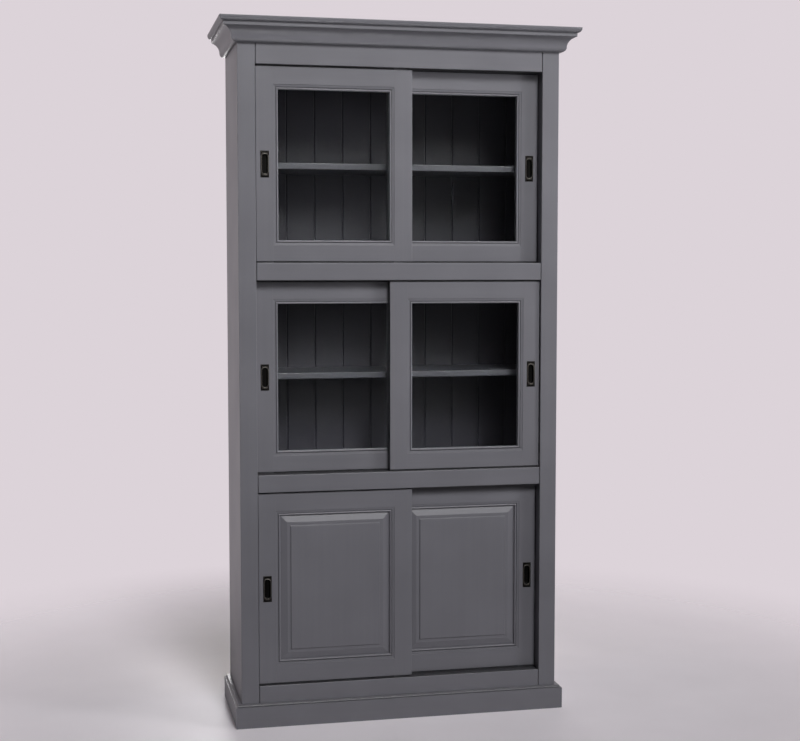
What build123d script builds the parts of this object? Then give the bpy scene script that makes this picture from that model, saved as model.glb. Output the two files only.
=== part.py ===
from build123d import *
from math import acos, degrees
import os

# Tall cupboard with three tiers of paired sliding doors, a cornice and a plinth.
# Millimetres. X runs across the front, Y from front to back, Z up.
# The origin is on the floor, at the centre of the overall footprint.

# --- Driving dimensions ---------------------------------------------------------------
BODY_W = 1000                   # width over the front posts
BODY_D = 344                    # face of the posts to the back
CORNICE_OUT = 56                # how far the cornice stands out from the body
FACE_Y = (CORNICE_OUT - BODY_D) / 2     # face of the posts in the finished frame

POST_W = 53
RAIL_D = 70                     # depth of posts and rails, front to back
RAIL_H = 53                     # middle rails
SILL_Z = 124                    # top of the bottom rail
LOWER_OPENING = 596
UPPER_OPENING = 590             # both glazed tiers
TOP_RAIL_H = 92
BOTTOM_RAIL_H = 94
SIDE_T = 20
DECK_T = 18
SHELF_T = 19
BACK_T = 12
EASE = 1.5                      # radius on the arrises that a hand meets
SHELF_EASE = 2

DOOR_T = 24
FRONT_TRACK = 11                # face of a front door behind the face of the posts
REAR_TRACK = 41
DOOR_OVERLAP = 70               # how far two doors of a tier lie over each other
SIDE_GAP = 2                    # door edge to post
FOOT_GAP = 4                    # door to the rail below
HEAD_GAP = 4.5                  # door to the rail above

TONGUE_T = 12                   # door tongues that run in the grooves
GROOVE_W = 13
SILL_GROOVE = 6
HEAD_GROOVE = 15                # deeper, so that a door lifts up and out of the sill
SILL_ENGAGE = 5.7
HEAD_ENGAGE = 9

OUTER_FLAT = 53                 # flat face of the outer stiles of the doors
MEETING_FLAT = 56               # and of their meeting stiles
PANEL_RAILS = (56, 55)          # flat face of the bottom and top rails round a panel
GLASS_RAILS = (49, 53)          # and round glass
SLOPE_W = 7                     # sticking on the inner edge: slope, quirk and bead
SLOPE_IN = 0.6
SLOPE_OUT = 3
QUIRK_W = 1.6
BEAD_R = 3
LIP_D = 9                       # front of the door to the glass or panel
REBATE = 9                      # sticking that covers the glass edge
GLASS_T = 4
GLASS_COVER = 8
GROOVE_T = 6.4                  # panel groove
GROOVE_IN = 8
TENON = (30, 30, 16)            # case rails into posts: X, Y, Z
SASH_TENON = (30, 8, 34)        # door rails into stiles: X, Y, Z

PANEL_TONGUE = 6                # how far the panel runs into its groove
PANEL_TONGUE_T = 6
PANEL_FIELD = 1                 # field of the raised panel behind the door face
BEVEL_W = 20.5
BEVEL_RISE = 5.5
BAND_W = 10                     # flat between the bevel and the field's step
STEP_R = 2.4                    # rounding of the step up to the field

PULL_W = 26
PULL_H = 80
PULL_EDGE = 14                  # door edge to the edge of the pull's plate
PULL_PLATE = 1.2
PULL_RIM = 1.2                  # rim, proud of the plate
PULL_CUP = (60, 18, 9)          # finger recess: height, width, depth
PULL_WALL = 1

CORNICE_Z = 2067
CORNICE_H = 71
PLINTH_H = 72
PLINTH_T = 19
PLINTH_COVE = 7                 # hollow along the plinth's top outer edge
BOARD_PITCH = 92                # back boards
FIRST_SEAM = -400
BACK_TONGUE = 5
BACK_VEE = 2.5

# --- Derived places -------------------------------------------------------------------
OPENING_W = BODY_W - 2 * POST_W
DOOR_W = (OPENING_W + DOOR_OVERLAP) / 2 - SIDE_GAP
STICK_W = SLOPE_W + QUIRK_W + 2 * BEAD_R
SHOULDERS = (OUTER_FLAT - DOOR_W / 2, DOOR_W / 2 - MEETING_FLAT)      # ends of the door rails
INNER_W = BODY_W - 2 * SIDE_T
BACK_Y = BODY_D - BACK_T
LOWER_HEAD = SILL_Z + LOWER_OPENING
MIDDLE_SILL = LOWER_HEAD + RAIL_H
MIDDLE_HEAD = MIDDLE_SILL + UPPER_OPENING
UPPER_SILL = MIDDLE_HEAD + RAIL_H
UPPER_HEAD = UPPER_SILL + UPPER_OPENING
CASE_H = UPPER_HEAD + TOP_RAIL_H
DECK_TOPS = {"bottom_board": SILL_Z, "lower_deck": MIDDLE_SILL, "upper_deck": UPPER_SILL,
             "top_board": CASE_H}
TIERS = {"lower": (SILL_Z, LOWER_OPENING), "middle": (MIDDLE_SILL, UPPER_OPENING),
         "upper": (UPPER_SILL, UPPER_OPENING)}
FRONT_DOORS = {"lower": "left", "middle": "right", "upper": "left"}

DADO = 6                        # housing of the decks in the side panels
JOINT = 6                       # tongues between posts, rails, side panels and decks
BACK_REBATE = 8
SHELF_FRONT = 80
SHELF_SLACK = 1
CLEAT = 20
BACK_FOOT = 90

parts = {}


# --- Small helpers --------------------------------------------------------------------
def box(x, y, z):
    """A box from its three (low, high) pairs."""
    size = [high - low for low, high in (x, y, z)]
    middle = [(high + low) / 2 for low, high in (x, y, z)]
    return Pos(*middle) * Box(*size)


def slab(width, depth, x, y):
    """A rectangle in plan with its low corner at x, y."""
    return Pos(x + width / 2, y + depth / 2) * Rectangle(width, depth)


def along_x(section, low, high):
    """Extrude a section drawn in Y and Z from x = low to x = high."""
    return Pos(low, 0, 0) * extrude(Plane.YZ * section, high - low)


def eased(section, corners, radius=EASE):
    """Round the corners of a section that lie at the given points."""
    chosen = [v for v in section.vertices() if any((Vector(v) - Vector(*c)).length < 0.01 for c in corners)]
    return fillet(chosen, radius)


def mirrored(solid):
    return mirror(solid, about=Plane.YZ)


# --- Case: posts, rails, sides, decks -------------------------------------------------
def rail_tenon(side, middle_z):
    """Stub tenon at one end of a case rail, also used to cut its mortise."""
    inner = side * OPENING_W / 2
    outer = inner + side * TENON[0]
    low, high = sorted((inner, outer))
    middle_y = RAIL_D / 2
    return box((low, high), (middle_y - TENON[1] / 2, middle_y + TENON[1] / 2),
               (middle_z - TENON[2] / 2, middle_z + TENON[2] / 2))


def case_rail(bottom, height, sill, head):
    """A rail across the front, grooved on top for doors above and underneath for doors below."""
    section = slab(RAIL_D, height, 0, 0)
    for face in (FRONT_TRACK, REAR_TRACK):
        groove_y = face + (DOOR_T - GROOVE_W) / 2
        if sill:
            section -= slab(GROOVE_W, SILL_GROOVE, groove_y, height - SILL_GROOVE)
        if head:
            section -= slab(GROOVE_W, HEAD_GROOVE, groove_y, 0)
    section -= slab(JOINT, JOINT, RAIL_D - JOINT, height - (DECK_T + JOINT) / 2)
    section = eased(section, [(0, 0), (0, height)])
    rail = along_x(section, -OPENING_W / 2, OPENING_W / 2)
    rail = Pos(0, 0, bottom) * fillet(rail.edges().filter_by(Axis.Z).group_by(Axis.Y)[0], EASE)
    middle_z = bottom + height / 2 + (HEAD_GROOVE * head - SILL_GROOVE * sill) / 2
    tenons = [rail_tenon(side, middle_z) for side in (-1, 1)]
    return rail + tenons, tenons


def front_post(mortises):
    """Left front post: a full-height stile, grooved behind for the side panel."""
    left = -BODY_W / 2
    section = slab(POST_W, RAIL_D, left, 0)
    section -= slab(JOINT, JOINT, left + (SIDE_T - JOINT) / 2, RAIL_D - JOINT)
    section = eased(section, [(left, 0), (left + POST_W, 0)])
    return extrude(section, CASE_H) - mortises


def side_panel():
    """Left side panel, housed for the decks and rebated for the back boards."""
    left = -BODY_W / 2
    section = slab(SIDE_T, BODY_D - RAIL_D, left, RAIL_D)
    section += slab(JOINT, JOINT, left + (SIDE_T - JOINT) / 2, RAIL_D - JOINT)
    section -= slab(BACK_REBATE, BACK_T, left + SIDE_T - BACK_REBATE, BACK_Y)
    panel = extrude(section, CASE_H)
    inner = left + SIDE_T
    for top in DECK_TOPS.values():
        panel -= box((inner - DADO, inner), (RAIL_D, BACK_Y), (top - DECK_T, top))
    return panel


def deck(top):
    """A board between the sides, tongued into the rail in front of it."""
    section = slab(BACK_Y - RAIL_D, DECK_T, RAIL_D, 0)
    section += slab(JOINT, JOINT, RAIL_D - JOINT, (DECK_T - JOINT) / 2)
    half = INNER_W / 2 + DADO
    board = along_x(section, -half, half)
    clear = OPENING_W / 2
    for side in (-1, 1):
        ends = sorted((side * clear, side * half))
        board -= box(ends, (RAIL_D - JOINT, RAIL_D), (0, DECK_T))
    return Pos(0, 0, top - DECK_T) * board


def shelf(top):
    """A loose shelf with a rounded front edge."""
    section = slab(BACK_Y - SHELF_FRONT, SHELF_T, SHELF_FRONT, 0)
    section = eased(section, [(SHELF_FRONT, 0), (SHELF_FRONT, SHELF_T)], SHELF_EASE)
    half = INNER_W / 2 - SHELF_SLACK
    return Pos(0, 0, top - SHELF_T) * along_x(section, -half, half)


def cleat_pair(top):
    """The two strips that carry a shelf, chamfered at their inner lower edge."""
    left = -INNER_W / 2
    section = Pos(left + CLEAT / 2, -CLEAT / 2) * Rectangle(CLEAT, CLEAT)
    lower = section.vertices().sort_by(Axis.Y)[:2].sort_by(Axis.X)[-1]
    section = chamfer(lower, CLEAT / 3)
    front = SHELF_FRONT + CLEAT / 2
    strip = extrude(Plane.XZ * section, -(BACK_Y - CLEAT / 2 - front))
    strip = Pos(0, front, top - SHELF_T) * strip
    return [strip, mirrored(strip)]


def back_board(low, high, first, last):
    """One tongued and grooved board with V joints on the side that faces the room."""
    third = BACK_T / 3
    section = slab(high - low, BACK_T, low, BACK_Y)
    if not last:
        section = chamfer(section.vertices().sort_by(Axis.Y)[:2].sort_by(Axis.X)[-1], BACK_VEE)
        section += slab(BACK_TONGUE, third, high, BACK_Y + third)
    if not first:
        section = chamfer(section.vertices().sort_by(Axis.Y)[:2].sort_by(Axis.X)[0], BACK_VEE)
        section -= slab(BACK_TONGUE, third, low, BACK_Y + third)
    return Pos(0, 0, BACK_FOOT) * extrude(section, CASE_H - BACK_FOOT)


def back_boards():
    """The back: boards of one pitch, the outer two cut to the rebates."""
    edge = INNER_W / 2 + BACK_REBATE
    seams = [-edge]
    seam = FIRST_SEAM
    while seam < edge:
        seams.append(seam)
        seam += BOARD_PITCH
    seams.append(edge)
    last = len(seams) - 2
    return [back_board(seams[i], seams[i + 1], i == 0, i == last) for i in range(last + 1)]


# --- Cornice and plinth ---------------------------------------------------------------
def cornice_section():
    """Cyma with a thumb moulding on top; the back leans out above the case, as on a sprung moulding."""
    top = CORNICE_H
    lip, thumb, neck, step = 4, 12, 11, 2.5
    fillet_w, ovolo_r, cove_r = 5, 13.5, 31
    neck_out = CORNICE_OUT - thumb
    neck_low = top - lip - thumb - neck
    cove = CenterArc((fillet_w + ovolo_r + cove_r, ovolo_r), cove_r, 180,
                     -degrees(acos((fillet_w + ovolo_r + cove_r - neck_out + step) / cove_r)))
    outline = [
        Line((0, 0), (fillet_w, 0)),
        CenterArc((fillet_w, ovolo_r), ovolo_r, 270, 90),
        cove,
        Polyline(cove @ 1, (neck_out - step, neck_low), (neck_out, neck_low), (neck_out, neck_low + neck)),
        CenterArc((neck_out, neck_low + neck + thumb), thumb, 270, 90),
        Polyline((CORNICE_OUT, top - lip), (CORNICE_OUT, top), (CORNICE_OUT / 2, top),
                 (0, CASE_H - CORNICE_Z), (0, 0)),
    ]
    return make_face(Curve() + outline)


def plinth_section():
    """A board with a hollow run along its top outer edge."""
    return slab(PLINTH_T, PLINTH_H, 0, 0) - Pos(PLINTH_T, PLINTH_H) * Circle(PLINTH_COVE)


def mitred_set(section, bottom):
    """Front length and two returns of a moulding whose section runs out from the body."""
    half = BODY_W / 2
    mitre = Plane(origin=(half, 0, 0), x_dir=(0, 0, 1), z_dir=(1, 1, 0))
    outward = Plane(origin=(0, 0, bottom), x_dir=(0, -1, 0), z_dir=(-1, 0, 0))
    front = extrude(outward * section, half + CORNICE_OUT, both=True)
    front = split(front, mitre, Keep.BOTTOM)
    front = mirrored(split(mirrored(front), mitre, Keep.BOTTOM))
    sideways = Plane(origin=(half, BODY_D, bottom), x_dir=(1, 0, 0), z_dir=(0, -1, 0))
    right = split(extrude(sideways * section, BODY_D + CORNICE_OUT), mitre, Keep.TOP)
    return front, mirrored(right), right


def cornice_blocks():
    """Glue blocks on top of the case that back the leaning cornice."""
    base, height, length = 26, 28, 60
    lean = CORNICE_OUT / 2 / (CORNICE_Z + CORNICE_H - CASE_H)
    section = make_face(Polyline((0, 0), (base, 0), (0, height), (-lean * height, height), (0, 0)))
    block = Pos(0, 0, CASE_H) * along_x(section, -length / 2, length / 2)
    across = [place * block for place in GridLocations(BODY_W / 4, 0, 4, 1)]
    right = Pos(BODY_W / 2, BODY_D / 2, 0) * Rot(0, 0, 90)
    along = [right * place * block for place in GridLocations(BODY_D / 3, 0, 3, 1)]
    return across + along + [mirrored(one) for one in along]


def plinth_blocks():
    """Glue blocks in the four lower corners of the case."""
    leg, height = 30, 60
    corner = extrude(make_face(Polyline((0, 0), (leg, 0), (0, leg), (0, 0))), height)
    left = -INNER_W / 2
    front = Pos(-OPENING_W / 2, RAIL_D, BACK_FOOT / 3) * corner
    rear = Pos(left, BACK_Y - DECK_T, 0) * Rot(0, 0, -90) * corner
    return [front, rear, mirrored(front), mirrored(rear)]


# --- Doors: drawn with the face at y = 0, centred on x, the foot of the face at z = 0 -----
def sash_section(panelled, flat):
    """Section of a door member: distance from its outer edge, then depth from the face."""
    inner = flat + STICK_W
    quirk = flat + SLOPE_W
    bead = quirk + QUIRK_W
    bead_z = SLOPE_OUT + BEAD_R
    front = Polyline((0, DOOR_T), (0, 0), (flat, 0), (flat, SLOPE_IN), (quirk, SLOPE_OUT), (quirk, bead_z),
                     (bead, bead_z))
    nose = ThreePointArc((bead, bead_z), (bead + BEAD_R, SLOPE_OUT), (inner, bead_z))
    if panelled:
        floor = inner - GROOVE_IN
        back = Polyline((inner, bead_z), (inner, LIP_D), (floor, LIP_D), (floor, LIP_D + GROOVE_T),
                        (inner, LIP_D + GROOVE_T), (inner, DOOR_T), (0, DOOR_T))
    else:
        floor = inner - REBATE
        back = Polyline((inner, bead_z), (inner, LIP_D), (floor, LIP_D), (floor, DOOR_T), (0, DOOR_T))
    return eased(make_face(Curve() + [front, nose, back]), [(0, 0)])


def mitre_wedge(flat):
    """Cuts the sticking of a member back along the mitre, at the low end of its length.

    Drawn with X along the member from the shoulder and Y from the outer edge inward.
    """
    reach = STICK_W + 1
    wedge = make_face(Polyline((0, flat), (reach, flat + reach), (0, flat + reach), (0, flat)))
    return extrude(wedge, DOOR_T)


def sash_rail(panelled, flat, tongue):
    """Bottom rail of a door between the shoulders, with its tenons and running tongue."""
    low, high = SHOULDERS
    upright = Plane(origin=(high, 0, 0), x_dir=(0, 0, 1), z_dir=(-1, 0, 0))
    rail = extrude(upright * sash_section(panelled, flat), high - low)
    wedge = Plane.XZ * mitre_wedge(flat)
    rail -= [Pos(low, DOOR_T, 0) * wedge, Pos(high, DOOR_T, 0) * mirrored(wedge)]
    run = (DOOR_T - TONGUE_T) / 2
    rail += box((low, high), (run, run + TONGUE_T), (-tongue, 0))
    for shoulder in SHOULDERS:
        rail += sash_tenon(shoulder, flat)
    return rail


def sash_tenon(shoulder, flat):
    """Stub tenon of a door rail, outward from its shoulder."""
    reach = SASH_TENON[0] if shoulder > 0 else -SASH_TENON[0]
    return box(sorted((shoulder, shoulder + reach)),
               ((DOOR_T - SASH_TENON[1]) / 2, (DOOR_T + SASH_TENON[1]) / 2),
               ((flat - SASH_TENON[2]) / 2, (flat + SASH_TENON[2]) / 2))


def sash_stile(panelled, flat, rail_flats, height):
    """Left stile of a door: full height, the sticking mitred against both rails."""
    left = -DOOR_W / 2
    low, high = rail_flats
    stile = Pos(left, 0, low) * extrude(sash_section(panelled, flat), height - low - high)
    board = box((left, left + flat), (0, DOOR_T), (0, height))
    arrises = board.edges().filter_by(Axis.X).group_by(Axis.Y)[0]
    arrises += board.edges().filter_by(Axis.Z).group_by(Axis.Y)[0].sort_by(Axis.X)[:1]
    stile += fillet(arrises, EASE)
    turn = Plane(origin=(left, DOOR_T, 0), x_dir=(0, 0, 1), z_dir=(0, -1, 0))
    wedge = turn * mirror(mitre_wedge(flat), about=Plane.XZ)
    stile -= [Pos(0, 0, low) * wedge, flipped(Pos(0, 0, high) * wedge, height)]
    run = (DOOR_T - TONGUE_T) / 2
    for foot, head in ((-FOOT_GAP - SILL_ENGAGE, 0), (height, height + HEAD_GAP + HEAD_ENGAGE)):
        stile += box((left, left + flat), (run, run + TONGUE_T), (foot, head))
    return stile - [sash_tenon(left + flat, low), flipped(sash_tenon(left + flat, high), height)]


def flipped(solid, height):
    """The same solid turned over about the middle height of a door."""
    return mirror(solid, about=Plane.XY.offset(height / 2))


def raised_panel(width, height):
    """Fielded panel: a bevel, a narrow flat and a rounded step up to the field, on all four sides."""
    bevel = PANEL_TONGUE + 1
    foot = LIP_D + (GROOVE_T - PANEL_TONGUE_T) / 2
    band = foot - BEVEL_RISE
    step = bevel + BEVEL_W + BAND_W
    waste = make_face(Curve() + [
        Polyline((-1, 0), (-1, foot), (bevel, foot), (bevel + BEVEL_W, band), (step, band),
                 (step, PANEL_FIELD + STEP_R)),
        CenterArc((step + STEP_R, PANEL_FIELD + STEP_R), STEP_R, 180, 90),
        Polyline((step + STEP_R, PANEL_FIELD), (step + STEP_R, 0), (-1, 0)),
    ])
    panel = box((-width / 2, width / 2), (PANEL_FIELD, foot + PANEL_TONGUE_T), (0, height))
    upright = Plane(origin=(width / 2 + 1, 0, 0), x_dir=(0, 0, 1), z_dir=(-1, 0, 0))
    bottom = extrude(upright * waste, width + 2)
    left = Pos(0, 0, -1) * extrude(Pos(-width / 2, 0) * waste, height + 2)
    return panel - [bottom, flipped(bottom, height), left, mirrored(left)]


def glazing_beads(width, height):
    """Four mitred strips that hold the glass from behind, chamfered at their inner edge."""
    depth = DOOR_T - LIP_D - GLASS_T
    section = slab(REBATE, depth, 0, LIP_D + GLASS_T)
    section = chamfer(section.vertices().sort_by(Axis.Y)[2:].sort_by(Axis.X)[-1], REBATE / 3)
    upright = Plane(origin=(width / 2, 0, 0), x_dir=(0, 0, 1), z_dir=(-1, 0, 0))
    bottom = extrude(upright * section, width)
    left = extrude(Pos(-width / 2, 0) * section, height)
    mitre = Plane(origin=(-width / 2, 0, 0), x_dir=(0, 1, 0), z_dir=(1, 0, -1))
    bottom = split(bottom, mitre, Keep.TOP)
    bottom = mirrored(split(mirrored(bottom), mitre, Keep.TOP))
    left = split(left, mitre, Keep.BOTTOM)
    left = flipped(split(flipped(left, height), mitre, Keep.BOTTOM), height)
    return [bottom, flipped(bottom, height), left, mirrored(left)]


def slot_face(height, width):
    """A round-ended slot, standing upright in X and Z."""
    return Plane.XZ * SlotOverall(height, width, rotation=90)


def flush_pull():
    """Rectangular plate with a round-ended finger cup and a raised rim around it."""
    tall, wide, deep = PULL_CUP
    rim_w, corner = 2, 1
    plate = extrude(Plane.XZ * RectangleRounded(PULL_W, PULL_H, corner), PULL_PLATE)
    rim = extrude(slot_face(tall + 2 * rim_w, wide + 2 * rim_w), PULL_PLATE + PULL_RIM)
    rim = chamfer(rim.faces().sort_by(Axis.Y)[0].edges(), PULL_RIM / 2)
    cup = extrude(slot_face(tall + 2 * PULL_WALL, wide + 2 * PULL_WALL), -(deep + PULL_WALL))
    proud = PULL_PLATE + PULL_RIM
    hollow = Pos(0, -proud, 0) * extrude(slot_face(tall, wide), -(deep + proud))
    hollow = fillet(hollow.faces().sort_by(Axis.Y)[-1].edges(), wide / 5)
    return plate + rim + cup - hollow


def pull_pocket():
    """The hole in a stile that takes the cup of the pull."""
    tall, wide, deep = PULL_CUP
    clearance = 0.3
    grow = 2 * (PULL_WALL + clearance)
    return extrude(slot_face(tall + grow, wide + grow), -(deep + PULL_WALL + clearance))


def door_pieces(height, panelled):
    """All the pieces of a left-hand door whose visible face has the given height."""
    flats = PANEL_RAILS if panelled else GLASS_RAILS
    low, high = flats
    pull_at = Pos(-DOOR_W / 2 + PULL_EDGE + PULL_W / 2, 0, height / 2)
    outer = sash_stile(panelled, OUTER_FLAT, flats, height)
    head_rail = flipped(sash_rail(panelled, high, HEAD_GAP + HEAD_ENGAGE), height)
    pieces = {
        "outer_stile": [outer - pull_at * pull_pocket()],
        "meeting_stile": [mirrored(sash_stile(panelled, MEETING_FLAT, flats, height))],
        "rails": [sash_rail(panelled, low, FOOT_GAP + SILL_ENGAGE), head_rail],
        "pull": [pull_at * flush_pull()],
    }
    sight_w = SHOULDERS[1] - SHOULDERS[0] - 2 * STICK_W
    sight_h = height - low - high - 2 * STICK_W
    sight = Pos(sum(SHOULDERS) / 2, 0, low + STICK_W)
    if panelled:
        lap = PANEL_TONGUE
        pieces["panel"] = [sight * Pos(0, 0, -lap) * raised_panel(sight_w + 2 * lap, sight_h + 2 * lap)]
    else:
        lap = GLASS_COVER
        pieces["glass"] = [sight * box((-sight_w / 2 - lap, sight_w / 2 + lap), (LIP_D, LIP_D + GLASS_T),
                                       (-lap, sight_h + lap))]
        beads = glazing_beads(sight_w + 2 * REBATE, sight_h + 2 * REBATE)
        pieces["beads"] = [sight * Pos(0, 0, -REBATE) * bead for bead in beads]
    return pieces


# --- Assembly -------------------------------------------------------------------------
def add(name, *solids):
    """Move solids into the finished frame and keep them under a node name."""
    placed = [Pos(0, FACE_Y, 0) * solid for solid in solids]
    parts[name] = placed[0] if len(placed) == 1 else Compound(children=placed)


def build_case():
    rails = {
        "bottom_rail": case_rail(SILL_Z - BOTTOM_RAIL_H, BOTTOM_RAIL_H, True, False),
        "lower_middle_rail": case_rail(LOWER_HEAD, RAIL_H, True, True),
        "upper_middle_rail": case_rail(MIDDLE_HEAD, RAIL_H, True, True),
        "top_rail": case_rail(UPPER_HEAD, TOP_RAIL_H, False, True),
    }
    mortises = []
    for name, (rail, tenons) in rails.items():
        add(name, rail)
        mortises.append(tenons[0])
    post = front_post(mortises)
    panel = side_panel()
    add("left_post", post)
    add("right_post", mirrored(post))
    add("left_side_panel", panel)
    add("right_side_panel", mirrored(panel))
    for name, top in DECK_TOPS.items():
        add(name, deck(top))
    cleats = []
    for tier, (sill, opening) in TIERS.items():
        shelf_top = sill + (opening + SHELF_T) / 2
        add(tier + "_shelf", shelf(shelf_top))
        cleats += cleat_pair(shelf_top)
    add("shelf_cleats", *cleats)
    add("back_boards", *back_boards())


def build_mouldings():
    for name, section, bottom in (("cornice", cornice_section(), CORNICE_Z), ("plinth", plinth_section(), 0)):
        front, left, right = mitred_set(section, bottom)
        add(name + "_front", front)
        add(name + "_left_return", left)
        add(name + "_right_return", right)
    add("cornice_blocks", *cornice_blocks())
    half = INNER_W / 2
    add("plinth_back", box((-half, half), (BACK_Y - DECK_T, BACK_Y), (0, BACK_FOOT)))
    add("plinth_blocks", *plinth_blocks())


def build_doors():
    centre = OPENING_W / 2 - SIDE_GAP - DOOR_W / 2
    for tier, (sill, opening) in TIERS.items():
        pieces = door_pieces(opening - FOOT_GAP - HEAD_GAP, tier == "lower")
        for side in ("left", "right"):
            track = FRONT_TRACK if FRONT_DOORS[tier] == side else REAR_TRACK
            place = Pos(-centre, track, sill + FOOT_GAP)
            for piece, solids in pieces.items():
                placed = [place * solid for solid in solids]
                if side == "right":
                    placed = [mirrored(solid) for solid in placed]
                add(tier + "_" + side + "_" + piece, *placed)


build_case()
build_mouldings()
build_doors()

os.makedirs("parts", exist_ok=True)
for name, shape in parts.items():
    export_step(shape, "parts/" + name + ".step")
print(len(parts), "nodes")
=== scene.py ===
"""A tall painted cupboard with sliding doors: its visible surfaces, finishes and a plain stage.

Metres throughout. X runs across the front, Y from the doors to the back, Z up from the floor.
"""

import math

import bmesh
import bpy
import numpy as np
from bpy.props import FloatProperty, FloatVectorProperty, PointerProperty
from bpy.types import Operator, Panel, PropertyGroup
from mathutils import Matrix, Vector


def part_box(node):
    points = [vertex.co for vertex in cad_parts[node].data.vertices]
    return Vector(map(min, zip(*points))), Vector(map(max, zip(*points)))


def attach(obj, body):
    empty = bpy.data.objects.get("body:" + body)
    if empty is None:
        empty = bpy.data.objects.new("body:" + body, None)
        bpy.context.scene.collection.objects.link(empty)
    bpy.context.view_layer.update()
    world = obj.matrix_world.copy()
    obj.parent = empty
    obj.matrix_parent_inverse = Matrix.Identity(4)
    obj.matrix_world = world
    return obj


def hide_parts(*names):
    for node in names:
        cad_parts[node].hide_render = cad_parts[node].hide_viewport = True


bl_info = {
    "name": "Sliding-door cupboard",
    "version": (1, 0, 0),
    "blender": (4, 5, 0),
    "location": "View3D > Sidebar > Cupboard",
    "description": "Builds the mouldings, panels, pulls and finishes of a tall sliding-door cupboard",
    "category": "Add Mesh",
}

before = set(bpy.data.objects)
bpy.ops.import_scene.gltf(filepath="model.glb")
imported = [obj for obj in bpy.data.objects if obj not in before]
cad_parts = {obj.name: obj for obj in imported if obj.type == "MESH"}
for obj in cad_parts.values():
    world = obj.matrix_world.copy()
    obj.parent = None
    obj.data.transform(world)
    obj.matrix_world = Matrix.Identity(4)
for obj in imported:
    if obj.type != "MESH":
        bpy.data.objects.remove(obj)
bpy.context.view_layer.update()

MM = 0.001
TIERS = ("lower", "middle", "upper")
SIDES = ("left", "right")
DOORS = [f"{tier}_{side}" for tier in TIERS for side in SIDES]

ARC_STEPS = 10                  # segments in each rounded corner
QUARTER_TURN = np.linspace(0, math.pi / 2, 5)   # angles of an even quarter round
SHARP = math.radians(13)        # edges that turn by more than this stay crisp
TIGHT = 2.5 * MM                # radius at or below which a corner counts fully as an edge
STRAIGHT = 0.999999             # cosine at which two sides count as lying in one line
GUARD = 2.1                     # a guard point lies at most the spare flat over this from its arc
WELD = 1e-6                     # points that are nearer to each other become one
SPECK = 1e-7                    # a length below this counts as none
TINY = 1e-9                     # keeps a divisor from being zero, and a comparison from missing
SKIN = 0.5 * MM                 # margin round a face where a finish goes by place
PAINTED_SHADE = -1                     # mark of a place drawn dark as painted shade


def linear(code):
    """A hex sRGB colour as linear red, green and blue."""
    parts = [int(code[i:i + 2], 16) / 255 for i in (1, 3, 5)]
    return tuple(c / 12.92 if c <= 0.04045 else ((c + 0.055) / 1.055) ** 2.4 for c in parts)


# --- Sizes and colours ------------------------------------------------------------------
def length(name, description, millimetres):
    """A size that is given in millimetres and kept in metres."""
    return FloatProperty(name=name, description=description, default=millimetres * MM, unit="LENGTH",
                         precision=5)


def swatch(name, description, code):
    """A colour that is given as a hex sRGB code and kept linear."""
    return FloatVectorProperty(name=name, description=description, default=linear(code), subtype="COLOR",
                               min=0, max=1)


class CupboardMouldings(PropertyGroup):
    """Parts of the cornice's section from the case outward and upward, and of the plinth's."""
    foot: length("Cornice foot", "Flat under the ovolo", 5)
    ovolo: length("Ovolo radius", "Quarter round at the foot of the cornice", 13.5)
    cove: length("Cove radius", "Hollow above the ovolo", 31)
    step: length("Step", "Small ledge between the cove and the neck", 2.5)
    neck: length("Neck height", "Upright band under the thumb moulding", 11)
    thumb: length("Thumb radius", "Quarter hollow under the lip", 12)
    lip: length("Lip height", "Upright edge at the very top", 4)
    back: length("Back height", "Where the leaning back of the cornice meets the top of the case", 31)
    crisp: length("Crisp edge", "Radius left on a moulded edge by sanding and paint", 0.6)
    hollow: length("Plinth hollow", "Cove run along the top outer edge of the plinth", 7)


class CupboardCase(PropertyGroup):
    """Posts, rails and shelves: edges, and the grooves that the doors run in."""
    ease: length("Eased edge", "Radius on the edges that a hand meets", 1.5)
    shelf_ease: length("Shelf edge", "Radius on the front edges of the shelves", 2)
    groove: length("Groove width", "Width of the grooves that the doors run in", 13)
    front_track: length("Front track", "Case face to the near side of the front groove", 16.5)
    rear_track: length("Rear track", "Case face to the near side of the rear groove", 46.5)
    sill: length("Sill groove", "Depth of the grooves on top of a rail", 6)
    head: length("Head groove", "Depth of the grooves under a rail", 15)
    tongue: length("Tongue", "Groove behind a rail or post for the board that meets it", 6)
    deck_top: length("Deck groove", "Top of a rail to the top of the deck's groove", 6)
    panel_in: length("Panel groove", "Outer side of a post to the groove for the side panel", 7)
    joint: length("Joint", "Open line between a rail's end and the post", 1.8)
    board: length("Board", "Pitch of the back boards", 92)
    seam: length("Seam", "Distance of a seam between back boards from the middle", 60)


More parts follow.
